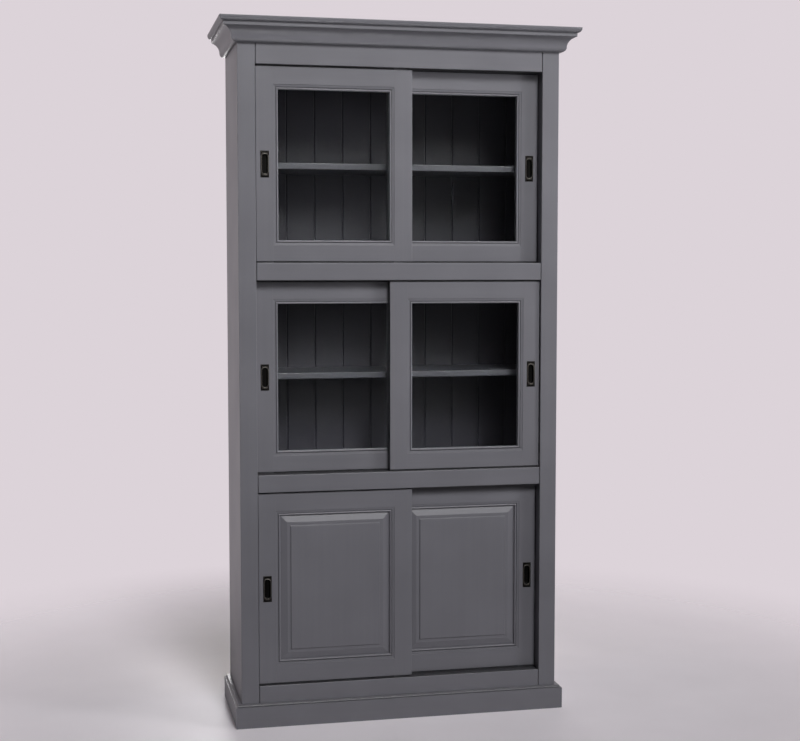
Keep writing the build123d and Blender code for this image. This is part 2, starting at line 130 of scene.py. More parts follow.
class CupboardSashes(PropertyGroup):
    """Section of the door frames, from the outer edge inward and from the face back."""
    outer: length("Outer stile", "Flat face of the outer stiles", 53)
    meeting: length("Meeting stile", "Flat face of the meeting stiles", 56)
    panel_low: length("Bottom rail, panelled", "Flat face of the bottom rail below a panel", 56)
    panel_high: length("Top rail, panelled", "Flat face of the top rail above a panel", 55)
    glass_low: length("Bottom rail, glazed", "Flat face of the bottom rail below the glass", 49)
    glass_high: length("Top rail, glazed", "Flat face of the top rail above the glass", 53)
    ease: length("Eased edge", "Radius on the outer edges", 1.5)
    crisp: length("Crisp edge", "Radius left on a moulded edge by sanding and paint", 0.28)
    slope: length("Slope width", "Slope of the sticking", 7)
    slope_in: length("Slope start", "Depth of the slope's outer edge", 1.5)
    slope_out: length("Slope end", "Depth of the slope's inner edge", 2.2)
    quirk: length("Quirk", "Width of the groove beside the bead", 1.6)
    bead: length("Bead radius", "Radius of the bead at the inner edge", 3)
    lip: length("Lip", "Face to the glass or panel", 9)
    rebate: length("Rebate", "Width of the rebate for the glass", 9)
    groove: length("Groove", "Thickness of the panel's groove", 6.4)
    groove_in: length("Groove depth", "Depth of the panel's groove", 8)
    run: length("Running tongue", "Thickness of the tongues that run in the rails", 12)
    sill_reach: length("Tongue below", "Reach of the lower tongue", 9.7)
    head_reach: length("Tongue above", "Reach of the upper tongue", 13.5)
    pocket: length("Pocket depth", "Depth of the hole for the pull", 10.3)
    pocket_wide: length("Pocket width", "Width of the hole for the pull", 20.6)
    pocket_tall: length("Pocket height", "Height of the hole for the pull", 62.6)
    joint: length("Joint", "Radius on the end of a rail where it meets the stile", 0.25)


class CupboardPanels(PropertyGroup):
    """Section of the raised panel from its edge inward."""
    tongue: length("Tongue", "Flat that runs in the groove of the frame", 7)
    depth: length("Tongue thickness", "Thickness of the panel in its groove", 6)
    bevel: length("Bevel", "Width of the sloping border", 20.5)
    rise: length("Rise", "How far the bevel comes forward", 5.5)
    band: length("Band", "Flat between the bevel and the field", 10)
    round: length("Field edge", "Rounding of the step up to the field", 2.4)


class CupboardPulls(PropertyGroup):
    """Flush finger pull."""
    plate: length("Plate", "Thickness of the plate on the door", 1.2)
    rim_height: length("Rim height", "Rim in front of the plate", 1.2)
    rim: length("Rim width", "Width of the rim round the recess", 2)
    wall: length("Wall", "Thickness of the pressed cup", 1)
    hollow: length("Recess width", "Width of the finger recess", 18)
    tall: length("Recess height", "Height of the finger recess", 60)
    deep: length("Recess depth", "Depth behind the door's face", 9)
    pin: length("Pin radius", "Radius of the head of each fixing pin", 1.3)
    inset: length("Pin inset", "Plate edge to the middle of a pin", 3.4)


class CupboardFinishes(PropertyGroup):
    """Colours of the paint, the metal, the bare wood and the stage."""
    paint: swatch("Paint", "Satin grey paint of the outside", "#5e5d63")
    # painted shade: the shelves are drawn darker than the outside paint, for their shade behind the glass
    shelves: swatch("Shelf paint", "Paint of the loose shelves", "#38373d")
    # painted shade: the compartments are drawn in this much darker colour than the outside paint
    inside: swatch("Inside paint", "Darker paint of the compartments", "#24222a")
    pine: swatch("Pine", "Bare back and top boards", "#b99a6e")
    metal: swatch("Bronze", "Blackened bronze of the pulls", "#1b1a19")
    # pale colour of the pulls' rim edges: finger wear and painted highlight
    rubbed_and_highlight: swatch("Rubbed bronze", "Where fingers have rubbed the rim", "#8a857f")
    glass: swatch("Glass", "Faint green of sheet glass", "#f9fbfa")
    floor: swatch("Floor", "Pale matt floor", "#f0eaf0")
    backdrop: swatch("Backdrop", "Pale room beyond the floor", "#dcd3d9")
    room: swatch("Room", "What the glass mirrors from the front of the room", "#1d1c1f")


# --- Surfaces ---------------------------------------------------------------------------
def rounded(corners):
    """A closed outline with rounded corners, from rows of (a, b, radius).

    With unit vectors u and v from a corner to its neighbours and the angle w between them, the arc's
    centre lies radius / sin(w / 2) away along u + v, and its ends radius / tan(w / 2) away along u
    and v. From its end s to its end e, seen from the centre, the arc is
    (sin((1 - t) f) s + sin(t f) e) / sin(f) with f = pi - w. One guard point before and one after
    each arc keep the flats between corners flat.
    """
    corners = np.asarray(corners, float)
    point, radius = corners[:, :2], corners[:, 2:]
    before = np.roll(point, 1, 0) - point
    after = np.roll(point, -1, 0) - point
    reach_in = np.linalg.norm(before, axis=1, keepdims=True)
    reach_out = np.linalg.norm(after, axis=1, keepdims=True)
    u, v = before / reach_in, after / reach_out
    w = np.arccos(np.clip((u * v).sum(1, keepdims=True), -STRAIGHT, STRAIGHT))
    tangent = radius / np.tan(w / 2)
    bisector = (u + v) / np.maximum(np.linalg.norm(u + v, axis=1, keepdims=True), TINY)
    centre = point + bisector * radius / np.sin(w / 2)
    start, end = point + u * tangent, point + v * tangent
    t = np.linspace(0, 1, ARC_STEPS + 1)[None, :, None]
    f = (math.pi - w)[:, None, :]
    arc = centre[:, None] + (np.sin((1 - t) * f) * (start - centre)[:, None]
                             + np.sin(t * f) * (end - centre)[:, None]) / np.sin(f)
    spare_in = (reach_in - tangent - np.roll(tangent, 1, 0)) / GUARD
    spare_out = (reach_out - tangent - np.roll(tangent, -1, 0)) / GUARD
    guard_in = start + u * np.clip(2 * radius, 0, np.maximum(spare_in, 0))
    guard_out = end + v * np.clip(2 * radius, 0, np.maximum(spare_out, 0))
    path = np.concatenate([guard_in[:, None], arc, guard_out[:, None]], 1).reshape(-1, 2)
    return path[np.linalg.norm(path - np.roll(path, 1, 0), axis=1) > SPECK]


def edge_marks(outline):
    """How much each point of a closed outline is an arris (1), a flat (0) or a hollow (-1).

    The turn of the path at a point over the mean length of the two segments beside it is the
    curvature there; it is scaled so that the tight radius counts as 1.
    """
    before = outline - np.roll(outline, 1, 0)
    after = np.roll(outline, -1, 0) - outline
    turn = np.arctan2(before[:, 0] * after[:, 1] - before[:, 1] * after[:, 0], (before * after).sum(1))
    span = (np.linalg.norm(before, axis=1) + np.linalg.norm(after, axis=1)) / 2
    area = (outline[:, 0] * np.roll(outline[:, 1], -1) - outline[:, 1] * np.roll(outline[:, 0], -1)).sum()
    return np.clip(np.sign(area) * turn / span * TIGHT, -1, 1)


def sweep(outline, marks, low, high, ends, place):
    """A section carried along a straight member: points (rows, columns, 3) and their marks.

    ends holds the rows of the low end and those of the high end, each row as (distance from that end,
    set-back, mark). Where the section stands in front of the set-back it is pushed back to it and
    takes the mark. low and high may differ from point to point, which cuts the ends to a mitre.
    """
    a, b = outline.T
    points, wear_and_painted_light = [], []
    for rows, start, sign in ((ends[0], low, 1), (ends[1][::-1], high, -1)):
        t, back, mark = np.asarray(rows, float).T[..., None]
        along = start + sign * t + 0 * b
        points.append(np.stack(np.broadcast_arrays(*place(a, np.maximum(b, back), along)), -1))
        wear_and_painted_light.append(np.where(b < back, mark, marks))
    return np.concatenate(points), np.concatenate(wear_and_painted_light)


SQUARE = [(0, 0, 0)]            # rows of an end that is simply cut off


def quarter(radius, start=0.0, mark=1.0):
    """Rows of an end with an even quarter round, and one guard row beyond it.

    At the angle w the round lies radius (1 - cos w) along and radius (1 - sin w) back.
    """
    w = QUARTER_TURN
    rows = np.stack([start + radius * (1 - np.cos(w)), radius * (1 - np.sin(w)), 0 * w + mark], 1)
    return [*rows.tolist(), (start + 2 * radius, 0, 0)]


def nearest(outline, a, b):
    """Index of the outline's point closest to (a, b)."""
    return int(np.argmin(np.hypot(outline[:, 0] - a, outline[:, 1] - b)))


class Shell:
    """Grids of points with the faces on them, welded into one mesh."""

    def __init__(self):
        self.points, self.marks, self.faces, self.count = [], [], [], 0

    def grid(self, points, marks=0.0, wrap=True, drop=()):
        """Adds a grid (rows, columns, 3) with quads on it, and returns the index of each point.

        wrap joins the last column to the first. drop holds (row, column) of quads to leave out.
        """
        rows, columns = points.shape[:2]
        index = self.count + np.arange(rows * columns).reshape(rows, columns)
        ring = np.concatenate([index, index[:, :1]], 1) if wrap else index
        quads = np.stack([ring[:-1, :-1], ring[:-1, 1:], ring[1:, 1:], ring[1:, :-1]], -1)
        keep = np.ones(quads.shape[:2], bool)
        for row, column in drop:
            keep[row, column] = False
        self.faces += quads[keep].tolist()
        self.points.append(points.reshape(-1, 3))
        self.marks.append(np.broadcast_to(marks, (rows, columns)).ravel())
        self.count += rows * columns
        return index

    def face(self, index):
        """A flat face between points that are already there."""
        self.faces.append(np.asarray(index).tolist())

    def polygon(self, points):
        """A flat face with points of its own, which the weld joins to their neighbours."""
        self.face(self.grid(np.asarray(points)[None], wrap=False)[0])

    def tube(self, points, marks=0.0):
        """A grid closed round its columns, with a flat face over its first and last row."""
        index = self.grid(points, marks)
        self.face(index[0])
        self.face(index[-1])

    def mesh(self, name):
        """A new object at the origin, with doubles welded and its faces turned outward."""
        used = np.unique(np.concatenate(self.faces))
        points, marks = np.concatenate(self.points)[used], np.concatenate(self.marks)[used]
        data = bpy.data.meshes.new(name)
        data.from_pydata(points.tolist(), [], [np.searchsorted(used, face).tolist() for face in self.faces])
        edge = data.attributes.new("edge", "FLOAT", "POINT")
        edge.data.foreach_set("value", marks.astype(np.float32))
        work = bmesh.new()
        work.from_mesh(data)
        bmesh.ops.remove_doubles(work, verts=work.verts, dist=WELD)
        bmesh.ops.dissolve_degenerate(work, edges=work.edges, dist=SPECK)
        bmesh.ops.recalc_face_normals(work, faces=work.faces)
        work.to_mesh(data)
        work.free()
        data.polygons.foreach_set("use_smooth", np.ones(len(data.polygons), bool))
        data.set_sharp_from_angle(angle=SHARP)
        thing = bpy.data.objects.new(name, data)
        bpy.context.scene.collection.objects.link(thing)
        return thing


def dress(shell, name, paint, body, slot, *nodes):
    """Makes a shell a piece, with its finish, its body and the CAD nodes that it stands for."""
    thing = shell.mesh(name)
    thing.data.materials.append(finish(paint))
    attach(thing, body)
    if nodes:
        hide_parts(*nodes)


def repaint(node, paint):
    """Gives a CAD node that stays another finish."""
    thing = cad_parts[node]
    for one in thing.material_slots:
        one.material = finish(paint)
    if not thing.material_slots:
        thing.data.materials.append(finish(paint))


def lying(foot, face, sign=1):
    """Lays a section along X: a goes up from foot, or down where sign is -1, and b back from face."""
    return lambda a, b, t: (t, face + b, foot + sign * a)


def standing(edge, face, sign):
    """Stands a section along Z: a goes right from edge, or left where sign is -1, and b back from face."""
    return lambda a, b, t: (edge + sign * a, face + b, t)


def case_piece(name, paint, slot, node, section, start, end, place, rows=SQUARE):
    """A straight piece of the case: one section, as (outline, marks), carried from start to end."""
    shell = Shell()
    shell.tube(*sweep(*section, start, end, (rows, rows), place))
    dress(shell, name, paint, "case", slot, node)


# --- Finishes ---------------------------------------------------------------------------
# A Mix node takes numbers at its sockets 2 and 3 and colours at 6 and 7, and gives a colour at 2.
BLEND = {"data_type": "RGBA"}
TINT = {"data_type": "RGBA", "blend_type": "MULTIPLY"}
NOISE = {"From Min": 0.3, "From Max": 0.7}      # between these lie nearly all values of a noise
WEAR_AND_HIGHLIGHT = {"From Min": 0.4, "From Max": 1.0}     # arris marks, soft to sharp: edge wear and painted highlight
SUNK = {"From Min": -0.3, "From Max": -1.0}     # hollow marks, shallow to deep: painted shade
DRY = 0.62                                      # roughness of planed wood without paint
BOARD_STEP = (0.37, 0.61, 1.9)                  # metres between the figures of two boards


def add(tree, kind, inputs=None, **settings):
    """Adds a node with settings of its own. inputs maps its sockets to values, sockets or nodes.

    A node among them stands for its first output.
    """
    node = tree.nodes.new("ShaderNode" + kind)
    for key, value in settings.items():
        setattr(node, key, value)
    for key, value in (inputs or {}).items():
        if isinstance(value, bpy.types.Node):
            value = value.outputs[0]
        if isinstance(value, bpy.types.NodeSocket):
            tree.links.new(value, node.inputs[key])
        else:
            node.inputs[key].default_value = value
    return node


def blank(name):
    """A material with an empty node tree."""
    material = bpy.data.materials.new(name)
    material.use_nodes = True
    material.node_tree.nodes.clear()
    return material, material.node_tree


def shade(colour, factor):
    """A colour times a factor, no component above 1."""
    return tuple(min(1.0, c * factor) for c in colour) + (1.0,)


def drawn_out(grain, across, along):
    """Scale of a pattern whose features are so many metres wide across the grain and along it."""
    scale = [1 / across] * 3
    scale["XYZ".index(grain)] = 1 / along
    return scale


def within(tree, place, low, high):
    """1 where the point lies in the box between low and high, and 0 outside it."""
    middle = [(x + y) / 2 for x, y in zip(low, high)]
    half = [(y - x) / 2 for x, y in zip(low, high)]
    offset = add(tree, "VectorMath", {0: place, 1: middle}, operation="SUBTRACT")
    reach = add(tree, "VectorMath", {0: offset}, operation="ABSOLUTE")
    spare = add(tree, "VectorMath", {0: half, 1: reach}, operation="SUBTRACT")
    parts = add(tree, "SeparateXYZ", {0: spare}).outputs
    least = add(tree, "Math", {0: parts[0], 1: parts[1]}, operation="MINIMUM")
    least = add(tree, "Math", {0: least, 1: parts[2]}, operation="MINIMUM")
    return add(tree, "Math", {0: least, 1: 0.0}, operation="GREATER_THAN")


def compartments():
    """Lowest and highest corner of the painted space behind the doors.

    It takes in the backs of the posts, the inner faces of the side panels and all but the back of
    the back boards. Below and above it ends out of sight, by the bottom board and in the top board.
    """
    left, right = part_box("left_side_panel")[1].x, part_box("right_side_panel")[0].x
    front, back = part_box("left_post")[1].y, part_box("back_boards")[1].y
    foot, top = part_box("bottom_board")[0].z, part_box("top_board")[1].z
    under, over = 6 * MM, 8 * MM
    return (left - SKIN, front - SKIN, foot - under), (right + SKIN, back - SKIN, top - over)


def background_ray(tree):
    """1 for a ray that shows the background: one from the camera, in gloss or through glass."""
    path = add(tree, "LightPath").outputs
    seen = add(tree, "Math", {0: path["Is Camera Ray"], 1: path["Is Glossy Ray"]}, operation="MAXIMUM")
    return add(tree, "Math", {0: seen, 1: path["Is Transmission Ray"]}, operation="MAXIMUM")


def boards_apart(tree, place):
    """A place of its own in the wood for each back board, and a tone, dark where boards meet.

    A board's number is the whole part of its distance from a seam over the boards' pitch; the place
    is moved by a fixed step times that number.
    """
    size = bpy.context.scene.cupboard_case
    across = add(tree, "SeparateXYZ", {0: place}).outputs["X"]
    from_seam = add(tree, "Math", {0: across, 1: size.seam}, operation="SUBTRACT")
    count = add(tree, "Math", {0: from_seam, 1: size.board}, operation="DIVIDE")
    number = add(tree, "Math", {0: count}, operation="FLOOR")
    moved = add(tree, "VectorMath", {0: number, 1: BOARD_STEP, 2: place}, operation="MULTIPLY_ADD")
    chance = add(tree, "TexWhiteNoise", {"W": number}, noise_dimensions="1D").outputs["Value"]
    tone = add(tree, "MapRange", {"Value": chance, "To Min": 0.86, "To Max": 1.06})
    away = add(tree, "Math", {0: from_seam, 1: size.board / 2}, operation="PINGPONG")
    met = add(tree, "MapRange", {"Value": away, "From Min": 0.3 * MM, "From Max": 1.2 * MM,
                                 "To Min": 0.3, "To Max": 1.0})
    return moved, add(tree, "Math", {0: tone, 1: met}, operation="MULTIPLY")


def pine_tone(tree, place, colour, grain):
    """Colour and height of planed softwood: pale early wood with darker ring lines along the grain."""
    # rings 30 mm wide on the face of a board, drawn out over most of its length
    rings = add(tree, "Mapping", {"Vector": place, "Scale": drawn_out(grain, 30 * MM, 900 * MM)})
    bend = add(tree, "TexNoise", {"Vector": rings, "Scale": 1.0, "Detail": 3.0, "Distortion": 1.2})
    bands = add(tree, "TexWave", {"Vector": rings, "Scale": 0.4, "Distortion": 9.0, "Detail": 2.0,
                                  "Detail Scale": 0.6},
                wave_type="BANDS", bands_direction="Y" if grain == "X" else "X")
    both = add(tree, "Math", {0: bend.outputs["Fac"], 1: bands.outputs["Fac"]}, operation="MULTIPLY")
    tone = add(tree, "ValToRGB", {"Fac": both})
    for stop, position, factor in zip(tone.color_ramp.elements, (0.05, 0.8), (1.04, 0.80)):
        stop.position, stop.color = position, shade(colour, factor)
    return tone.outputs["Color"], both


def satin_paint(name, colour, grain, inside=None, bare=None):
    """Satin paint brushed on planed wood.

    An even, slightly soft sheen; faint brush marks and the wood's own figure show through along the
    grain. The arrises are drawn lighter, edge wear and painted highlight, and the hollows darker as
    painted shade. The darker colour given for the compartments is drawn within them as painted
    shade, and bare is that of the unpainted back of the back boards.
    """
    material, tree = blank(name)
    low, high = compartments()
    place = add(tree, "TexCoord").outputs["Object"]
    # bristle marks are about 1 mm apart; drawn 4 mm apart, the finest that shows at this distance
    combed = add(tree, "Mapping", {"Vector": place, "Scale": drawn_out(grain, 4 * MM, 260 * MM)})
    bristles = add(tree, "TexNoise", {"Vector": combed, "Scale": 1.0, "Detail": 3.0,
                                      "Roughness": 0.6}).outputs["Fac"]
    # growth rings telegraph through the paint about 14 mm apart
    ringed = add(tree, "Mapping", {"Vector": place, "Scale": drawn_out(grain, 14 * MM, 600 * MM)})
    figure = add(tree, "TexNoise", {"Vector": ringed, "Scale": 1.0, "Detail": 4.0,
                                    "Distortion": 0.6}).outputs["Fac"]
    # roller stipple, 2.5 mm across
    stipple = add(tree, "TexNoise", {"Vector": place, "Scale": 1 / (2.5 * MM), "Detail": 2.0})
    # slow drift of the colour over a hand's breadth
    drift = add(tree, "TexNoise", {"Vector": place, "Scale": 1 / (160 * MM), "Detail": 3.0}).outputs["Fac"]
    edge = add(tree, "Attribute", attribute_name="edge").outputs["Fac"]

    tone = add(tree, "MapRange", {"Value": drift, **NOISE, "To Min": 0.955, "To Max": 1.045})
    streak = add(tree, "MapRange", {"Value": figure, **NOISE, "To Min": 0.975, "To Max": 1.025})
    # edge wear and painted highlight on the arrises; painted shade in the hollows
    wear_and_painted_light = add(tree, "MapRange", {"Value": edge, **WEAR_AND_HIGHLIGHT, "To Min": 1.0, "To Max": 1.12})
    painted_hollow_shade = add(tree, "MapRange", {"Value": edge, **SUNK, "To Min": 1.0, "To Max": 0.3})
    for other in (streak, wear_and_painted_light, painted_hollow_shade):
        tone = add(tree, "Math", {0: tone, 1: other}, operation="MULTIPLY")
    base = (*colour, 1)
    # painted shade: within the compartments the colour gives way to a much darker one
    if inside:
        rooms = within(tree, place, low, high)
        base = add(tree, "Mix", {0: rooms, 6: base, 7: (*inside, 1)}, **BLEND).outputs[2]
    final = add(tree, "Mix", {0: 1.0, 6: base, 7: tone}, **TINT).outputs[2]
    sheen = add(tree, "MapRange", {"Value": drift, **NOISE, "To Min": 0.37, "To Max": 0.41})
    if bare:
        depth = add(tree, "SeparateXYZ", {0: place}).outputs["Y"]
        behind = add(tree, "Math", {0: depth, 1: high[1]}, operation="GREATER_THAN")
        own_place, own_tone = boards_apart(tree, place)
        pine, _ = pine_tone(tree, own_place, bare, grain)
        pine = add(tree, "Mix", {0: 1.0, 6: pine, 7: own_tone}, **TINT).outputs[2]
        final = add(tree, "Mix", {0: behind, 6: final, 7: pine}, **BLEND).outputs[2]
        sheen = add(tree, "Mix", {0: behind, 2: sheen, 3: DRY})

    fine = add(tree, "Bump", {"Height": stipple.outputs["Fac"], "Strength": 0.12, "Distance": 0.05 * MM})
    brushed = add(tree, "Bump", {"Height": bristles, "Strength": 0.35, "Distance": 0.1 * MM,
                                 "Normal": fine})
    grained = add(tree, "Bump", {"Height": figure, "Strength": 0.25, "Distance": 0.5 * MM,
                                 "Normal": brushed})
    skin = add(tree, "BsdfPrincipled", {"Base Color": final, "Roughness": sheen, "Normal": grained,
                                        "IOR": 1.47})
    add(tree, "OutputMaterial", {"Surface": skin})
    return material


def bare_pine(colour):
    """Planed softwood, unpainted: a dull, dry surface."""
    material, tree = blank("bare_pine")
    tone, height = pine_tone(tree, add(tree, "TexCoord").outputs["Object"], colour, "X")
    raised = add(tree, "Bump", {"Height": height, "Strength": 0.3, "Distance": 0.3 * MM})
    skin = add(tree, "BsdfPrincipled", {"Base Color": tone, "Roughness": DRY, "Normal": raised})
    add(tree, "OutputMaterial", {"Surface": skin})
    return material


def sheet_glass(colour):
    """Clear float glass, 4 mm: mirrors faintly at every angle and lets the lamps' light through."""
    material, tree = blank("sheet_glass")
    place = add(tree, "TexCoord").outputs["Object"]
    # float glass waves slowly, over about 120 mm
    wave = add(tree, "TexNoise", {"Vector": place, "Scale": 1 / (120 * MM), "Detail": 1.0})
    warped = add(tree, "Bump", {"Height": wave.outputs["Fac"], "Strength": 0.15, "Distance": 0.1 * MM})
    pane = add(tree, "BsdfPrincipled", {"Base Color": (*colour, 1), "Roughness": 0.0, "IOR": 1.52,
                                        "Transmission Weight": 1.0, "Normal": warped})
    clear = add(tree, "BsdfTransparent", {"Color": (*colour, 1)})
    shadow = add(tree, "LightPath").outputs["Is Shadow Ray"]
    both = add(tree, "MixShader", {0: shadow, 1: pane, 2: clear})
    add(tree, "OutputMaterial", {"Surface": both})
    return material


def blackened_bronze(colour, rubbed_and_highlight):
    """Pressed bronze, chemically blackened: dark and satin; pale rim edges, finger wear and painted
    highlight.
    """
    material, tree = blank("blackened_bronze")
    place = add(tree, "TexCoord").outputs["Object"]
    # the patina breaks up into patches 3 mm across
    patina = add(tree, "TexNoise", {"Vector": place, "Scale": 1 / (3 * MM), "Detail": 4.0,
                                    "Roughness": 0.65}).outputs["Fac"]
    edge = add(tree, "Attribute", attribute_name="edge").outputs["Fac"]
    # pale colour on the arrises: finger wear and painted highlight
    wear_and_painted_light = add(tree, "MapRange", {"Value": edge, **WEAR_AND_HIGHLIGHT, "To Min": 0.0, "To Max": 1.0})
    broken = add(tree, "Math", {0: wear_and_painted_light, 1: patina}, operation="MULTIPLY")
    tone = add(tree, "Mix", {0: broken, 6: (*colour, 1), 7: (*rubbed_and_highlight, 1)}, **BLEND).outputs[2]
    rough = add(tree, "MapRange", {"Value": patina, **NOISE, "To Min": 0.30, "To Max": 0.48})
    pitted = add(tree, "Bump", {"Height": patina, "Strength": 0.2, "Distance": 0.1 * MM})
    skin = add(tree, "BsdfPrincipled", {"Base Color": tone, "Metallic": 1.0, "Roughness": rough,
                                        "Normal": pitted})
    add(tree, "OutputMaterial", {"Surface": skin})
    return material


def finish(name):
    """One of the cupboard's materials, made the first time that it is asked for."""
    made = bpy.data.materials.get(name)
    if made:
        return made
    look = bpy.context.scene.cupboard_finishes
    makers = {
        "outside_upright": lambda: satin_paint(name, look.paint, "Z"),
        "outside_across": lambda: satin_paint(name, look.paint, "X"),
        "outside_deep": lambda: satin_paint(name, look.paint, "Y"),
        "shelf_across": lambda: satin_paint(name, look.shelves, "X"),
        "case_upright": lambda: satin_paint(name, look.paint, "Z", look.inside, look.pine),
        "case_across": lambda: satin_paint(name, look.paint, "X", look.inside),
        "bare_pine": lambda: bare_pine(look.pine),
        "sheet_glass": lambda: sheet_glass(look.glass),
        "blackened_bronze": lambda: blackened_bronze(look.metal, look.rubbed_and_highlight),
    }
    return makers[name]()


# --- Mouldings --------------------------------------------------------------------------
def moulding_pieces(kind, outline, marks):
    """A moulding round the front and both sides, mitred at the front corners.

    The section's a runs outward from the case and b upward. Along the front each point ends at the
    case's half width plus a; along the sides it starts at the face of the posts minus a.
    """
    low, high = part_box(kind + "_front")
    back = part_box(kind + "_left_return")[1].y
    out = high.y - low.y
    half = high.x - out
    face, foot = high.y, low.z
    reach = outline[:, 0]

    def front(a, b, t):
        return t, face - a, foot + b

    runs = [("front", front, -half - reach, half + reach, "outside_across")]
    for side, sign in zip(SIDES, (-1, 1)):
        def beside(a, b, t, sign=sign):
            return sign * (half + a), t, foot + b
        runs.append((side + "_return", beside, face - reach, back, "outside_deep"))
    for name, place, start, end, paint in runs:
        node = f"{kind}_{name}"
        case_piece(node + "_moulding", paint, "painted_wood", node, (outline, marks), start, end, place)


class CUPBOARD_OT_cornice(Operator):
    """Cornice in three mitred lengths: ovolo, cove, neck and thumb moulding"""
    bl_idname = "cupboard.cornice"
    bl_label = "Cornice"

    def execute(self, context):
        size = context.scene.cupboard_mouldings
        low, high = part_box("cornice_front")
        out, top = high.y - low.y, high.z - low.z
        belly = size.foot + size.ovolo
        neck_out = out - size.thumb
        ledge = neck_out - size.step
        neck_top = top - size.lip - size.thumb
        # the cove starts upright above the ovolo and ends at the ledge; its corner lies where
        # the tangents at its two ends meet
        drop = belly + size.cove - ledge
        rise = math.sqrt(size.cove ** 2 - drop ** 2)
        cove_end = size.ovolo + rise
        corner = cove_end - (ledge - belly) * drop / rise
        outline = rounded([
            (0, 0, 0),
            (belly, 0, size.ovolo),
            (belly, corner, size.cove),
            (ledge, cove_end, 0),
            (ledge, neck_top - size.neck, 0),
            (neck_out, neck_top - size.neck, size.crisp),
            (neck_out, neck_top, 0),
            (out, neck_top, size.thumb),
            (out, top, size.crisp),
            (out / 2, top, size.crisp),
            (0, size.back, 0),
        ])
        moulding_pieces("cornice", outline, edge_marks(outline))
        return {"FINISHED"}


class CUPBOARD_OT_plinth(Operator):
    """Plinth in three mitred lengths: a board with a hollow along its top edge"""
    bl_idname = "cupboard.plinth"
    bl_label = "Plinth"

    def execute(self, context):
        size = context.scene.cupboard_mouldings
        low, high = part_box("plinth_front")
        out, top = high.y - low.y, high.z - low.z
        crisp, hollow = size.crisp, size.hollow
        # the hollow's arc ends a hair before the crisp corners beside it
        outline = rounded([(0, 0, 0), (out, 0, crisp), (out, top - hollow, crisp),
                           (out - hollow, top - hollow, hollow - 1.01 * crisp),
                           (out - hollow, top, crisp), (4 * crisp, top, 0), (0, top, 0)])
        # painted shade: the hollow and where the ledge meets the case are drawn dark
        a, b = outline.T
        marks, shadow = edge_marks(outline), -0.8
        sheltered = (a < crisp) & (b > top - crisp) | (marks < -0.2)
        moulding_pieces("plinth", outline, np.where(sheltered, shadow, marks))
        return {"FINISHED"}


# --- Case -------------------------------------------------------------------------------
def groove(side, depth, near, width):
    """Four corners of a square groove cut back from height side by depth, met from the near edge."""
    floor, far = side + depth, near + width
    return [(side, near, 0), (floor, near, 0), (floor, far, 0), (side, far, 0)]


class CUPBOARD_OT_posts(Operator):
    """Front posts: a square section with eased edges, grooved behind for the side panel"""
    bl_idname = "cupboard.posts"
    bl_label = "Posts"

    def execute(self, context):
        size = context.scene.cupboard_case
        for node, sign in (("left_post", 1), ("right_post", -1)):
            low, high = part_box(node)
            width, deep = high.x - low.x, high.y - low.y
            bottom = deep - size.tongue
            outer = size.panel_in
            inner = outer + size.tongue
            outline = rounded([
                (0, deep, 0), (0, 0, size.ease), (width, 0, size.ease), (width, deep, 0),
                (inner, deep, 0), (inner, bottom, 0), (outer, bottom, 0), (outer, deep, 0),
            ])
            place = standing(low.x if sign > 0 else high.x, low.y, sign)
            case_piece(node + "_upright", "case_upright", "painted_wood", node,
                       (outline, edge_marks(outline)), low.z, high.z, place)
        return {"FINISHED"}


class CUPBOARD_OT_case_rails(Operator):
    """Rails of the case between the posts, grooved for the doors above and below"""
    bl_idname = "cupboard.case_rails"
    bl_label = "Case rails"

    def execute(self, context):
        size = context.scene.cupboard_case
        for node, sill, head in (("bottom_rail", True, False), ("lower_middle_rail", True, True),
                                 ("upper_middle_rail", True, True), ("top_rail", False, True)):
            low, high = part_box(node)
            deep, tall = high.y - low.y, high.z - low.z
            bottom = deep - size.tongue
            tracks = size.front_track, size.rear_track
            under = [c for near in tracks for c in groove(0, size.head, near, size.groove)]
            over = [c for near in tracks for c in groove(tall, -size.sill, near, size.groove)]
            deck = tall - size.deck_top
            outline = rounded([
                (0, 0, size.ease), *(under if head else []),
                (0, deep, 0), (deck - size.tongue, deep, 0), (deck - size.tongue, bottom, 0),
                (deck, bottom, 0), (deck, deep, 0),
                (tall, deep, 0), *(reversed(over) if sill else []),
                (tall, 0, size.ease),
            ])
            start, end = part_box("left_post")[1].x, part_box("right_post")[0].x
            # the shoulder stands off the post by the open joint, as deep as three times the eased edge;
            # its faces in the joint are drawn dark as painted shade
            deep_in = 3 * size.ease
            rows = [(0, deep_in, PAINTED_SHADE), (size.joint, deep_in, PAINTED_SHADE),
                    *quarter(size.ease, size.joint, mark=-0.5)]
            # painted shade on the grooves, and on the faces that the doors run by, up to the eased edge
            a, b = outline.T
            slots = (a > MM) & (a < tall - MM) & (b > tracks[0] - MM) & (b < tracks[1] + size.groove + MM)
            faced = (b > 0.6 * size.ease) & (b < deep - MM)
            running = faced & (head & (a < 0.2 * size.ease) | sill & (a > tall - 0.2 * size.ease))
            marks = np.where(slots | running, PAINTED_SHADE, edge_marks(outline))
            case_piece(node + "_across", "case_across", "painted_wood", node, (outline, marks),
                       start, end, lying(low.z, low.y), rows)
        return {"FINISHED"}


